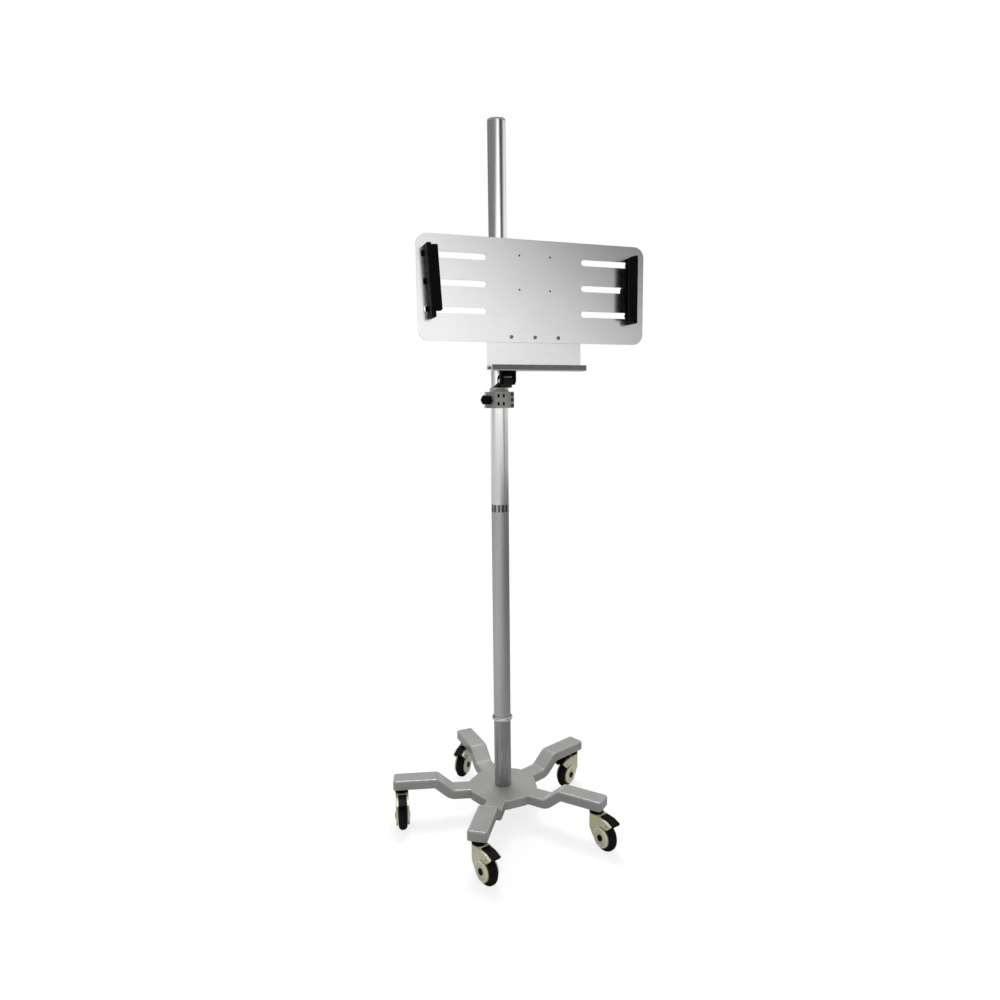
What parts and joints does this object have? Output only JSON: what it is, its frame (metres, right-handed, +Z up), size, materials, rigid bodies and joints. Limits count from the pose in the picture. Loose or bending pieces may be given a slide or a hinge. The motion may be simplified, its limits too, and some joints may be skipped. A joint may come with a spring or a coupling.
{
  "type": "mobile x-ray detector stand",
  "caption": "Wheeled column stand whose sliding, tilting slotted plate holds a flat x-ray detector between two adjustable grips above a ledge.",
  "frame": {"origin": "on the floor, under the column's axis", "axes": "+Z up along the column; +X along the plate's width, to the right of someone facing its front; -Y out of the plate's front"},
  "size_m": [0.6198, 0.5628, 1.686],
  "materials": {
    "grey_paint": "semi-gloss grey paint with a fine grain",
    "black_plastic": "fine moulded texture",
    "grey_plastic": "smooth moulded",
    "zinc_steel": "bright zinc",
    "dark_steel": "blackened",
    "post_steel": "satin, darker than the tubes",
    "satin_tube": "satin",
    "bright_tube": "smooth and bright",
    "polished_ring": "polished",
    "collar_metal": "warm grey, cast",
    "dark_paint": "satin dark grey",
    "black_paint": "satin black",
    "plate_steel": "satin sheet with a fine lengthwise grain",
    "trim_rubber": "matte edging",
    "tyre_rubber": "matte",
    "caster_plastic": "olive cream, semi-gloss",
    "hub_plastic": "olive cream"
  },
  "bodies": {
    "stand": {"base_casting": "grey_paint", "swivel_collars": "black_plastic", "kingpins": "zinc_steel", "column_bolt": "zinc_steel", "post_plug": "zinc_steel", "lower_post": "post_steel", "column_ring": "polished_ring", "ring_coupler": "zinc_steel", "lower_tube": "satin_tube", "band_coupler": "polished_ring", "upper_tube": "bright_tube", "top_cap": "grey_plastic"},
    "front_caster": {"front_fork": "caster_plastic", "front_axle": "black_plastic"},
    "front_wheel": {"front_tyre": "tyre_rubber", "front_wheel_hub": "hub_plastic"},
    "front_brake": {"front_brake_pedal": "black_plastic"},
    "right_caster": {"right_fork": "caster_plastic", "right_axle": "black_plastic"},
    "right_wheel": {"right_tyre": "tyre_rubber", "right_wheel_hub": "hub_plastic"},
    "right_brake": {"right_brake_pedal": "black_plastic"},
    "right_rear_caster": {"right_rear_fork": "caster_plastic", "right_rear_axle": "black_plastic"},
    "right_rear_wheel": {"right_rear_tyre": "tyre_rubber", "right_rear_wheel_hub": "hub_plastic"},
    "right_rear_brake": {"right_rear_brake_pedal": "black_plastic"},
    "rear_caster": {"rear_fork": "caster_plastic", "rear_axle": "black_plastic"},
    "rear_wheel": {"rear_tyre": "tyre_rubber", "rear_wheel_hub": "hub_plastic"},
    "rear_brake": {"rear_brake_pedal": "black_plastic"},
    "left_caster": {"left_fork": "caster_plastic", "left_axle": "black_plastic"},
    "left_wheel": {"left_tyre": "tyre_rubber", "left_wheel_hub": "hub_plastic"},
    "left_brake": {"left_brake_pedal": "black_plastic"},
    "collar": {"collar_liner": "grey_plastic", "collar_body": "collar_metal", "collar_screws": "dark_steel"},
    "collar_knob": {"collar_knob": "black_plastic"},
    "head": {"head_ring": "satin_tube", "tilt_lug": "dark_paint"},
    "plate": {"tilt_bracket": "black_paint", "tilt_screws": "dark_steel", "hinge_bolt": "zinc_steel", "hinge_nut": "zinc_steel", "back_plate": "plate_steel", "lower_bracket": "plate_steel", "ledge_trim": "trim_rubber", "bracket_screws": "zinc_steel"},
    "left_grip": {"left_grip": "black_plastic", "left_grip_blocks": "black_plastic", "left_grip_screws": "dark_steel"},
    "left_grip_knob": {"left_grip_knob": "black_plastic"},
    "right_grip": {"right_grip": "black_plastic", "right_grip_blocks": "black_plastic", "right_grip_screws": "dark_steel"},
    "right_grip_knob": {"right_grip_knob": "black_plastic"}
  },
  "joints": [
    {"name": "front_swivel", "type": "hinge", "parent": "stand", "child": "front_caster", "pos_m": [-0.13452, -0.21781, 0.09], "axis": [0, 0, 1], "continuous": true},
    {"name": "front_roll", "type": "hinge", "parent": "front_caster", "child": "front_wheel", "pos_m": [-0.12634, -0.24615, 0.035], "axis": [0.9608, 0.2773, 0], "continuous": true},
    {"name": "front_brake_tilt", "type": "hinge", "parent": "front_caster", "child": "front_brake", "pos_m": [-0.12093, -0.26489, 0.0715], "axis": [0.9608, 0.2773, 0], "range_deg": [0, 12]},
    {"name": "right_swivel", "type": "hinge", "parent": "stand", "child": "right_caster", "pos_m": [0.16558, -0.19524, 0.09], "axis": [0, 0, 1], "continuous": true},
    {"name": "right_roll", "type": "hinge", "parent": "right_caster", "child": "right_wheel", "pos_m": [0.17356, -0.22364, 0.035], "axis": [0.9627, 0.2706, 0], "continuous": true},
    {"name": "right_brake_tilt", "type": "hinge", "parent": "right_caster", "child": "right_brake", "pos_m": [0.17884, -0.24241, 0.0715], "axis": [0.9627, 0.2706, 0], "range_deg": [0, 12]},
    {"name": "right_rear_swivel", "type": "hinge", "parent": "stand", "child": "right_rear_caster", "pos_m": [0.23685, 0.09714, 0.09], "axis": [0, 0, 1], "continuous": true},
    {"name": "right_rear_roll", "type": "hinge", "parent": "right_rear_caster", "child": "right_rear_wheel", "pos_m": [0.21257, 0.08039, 0.035], "axis": [0.5678, -0.8231, 0], "continuous": true},
    {"name": "right_rear_brake_tilt", "type": "hinge", "parent": "right_rear_caster", "child": "right_rear_brake", "pos_m": [0.19652, 0.06932, 0.0715], "axis": [0.5678, -0.8231, 0], "range_deg": [0, 12]},
    {"name": "rear_swivel", "type": "hinge", "parent": "stand", "child": "rear_caster", "pos_m": [-0.0192, 0.25528, 0.09], "axis": [0, 0, 1], "continuous": true},
    {"name": "rear_roll", "type": "hinge", "parent": "rear_caster", "child": "rear_wheel", "pos_m": [-0.03764, 0.23226, 0.035], "axis": [0.7804, -0.6252, 0], "continuous": true},
    {"name": "rear_brake_tilt", "type": "hinge", "parent": "rear_caster", "child": "rear_brake", "pos_m": [-0.04983, 0.21704, 0.0715], "axis": [0.7804, -0.6252, 0], "range_deg": [0, 12]},
    {"name": "left_swivel", "type": "hinge", "parent": "stand", "child": "left_caster", "pos_m": [-0.24872, 0.06063, 0.09], "axis": [0, 0, 1], "continuous": true},
    {"name": "left_roll", "type": "hinge", "parent": "left_caster", "child": "left_wheel", "pos_m": [-0.25359, 0.03154, 0.035], "axis": [0.9863, -0.165, 0], "continuous": true},
    {"name": "left_brake_tilt", "type": "hinge", "parent": "left_caster", "child": "left_brake", "pos_m": [-0.2568, 0.0123, 0.0715], "axis": [0.9863, -0.165, 0], "range_deg": [0, 12]},
    {"name": "collar_height", "type": "slide", "parent": "stand", "child": "collar", "axis": [0, 0, 1], "range_m": [-0.7, 0.55]},
    {"name": "collar_knob_turn", "type": "hinge", "parent": "collar", "child": "collar_knob", "pos_m": [-0.03753, -0.02484, 1.053], "axis": [-0.8339, -0.5519, 0], "continuous": true},
    {"name": "head_turn", "type": "hinge", "parent": "collar", "child": "head", "pos_m": [0, 0, 1.08], "axis": [0, 0, 1], "continuous": true},
    {"name": "plate_tilt", "type": "hinge", "parent": "head", "child": "plate", "pos_m": [0, -0.053, 1.096], "axis": [1, 0, 0], "range_deg": [-5, 45]},
    {"name": "left_grip_slide", "type": "slide", "parent": "plate", "child": "left_grip", "axis": [1, 0, 0], "range_m": [0, 0.12]},
    {"name": "left_grip_knob_turn", "type": "hinge", "parent": "left_grip", "child": "left_grip_knob", "pos_m": [-0.185, -0.06, 1.308], "axis": [0, 1, 0], "continuous": true},
    {"name": "right_grip_slide", "type": "slide", "parent": "plate", "child": "right_grip", "axis": [-1, 0, 0], "range_m": [-0.0125, 0.115]},
    {"name": "right_grip_knob_turn", "type": "hinge", "parent": "right_grip", "child": "right_grip_knob", "pos_m": [0.3055, -0.06, 1.308], "axis": [0, 1, 0], "continuous": true}
  ]
}
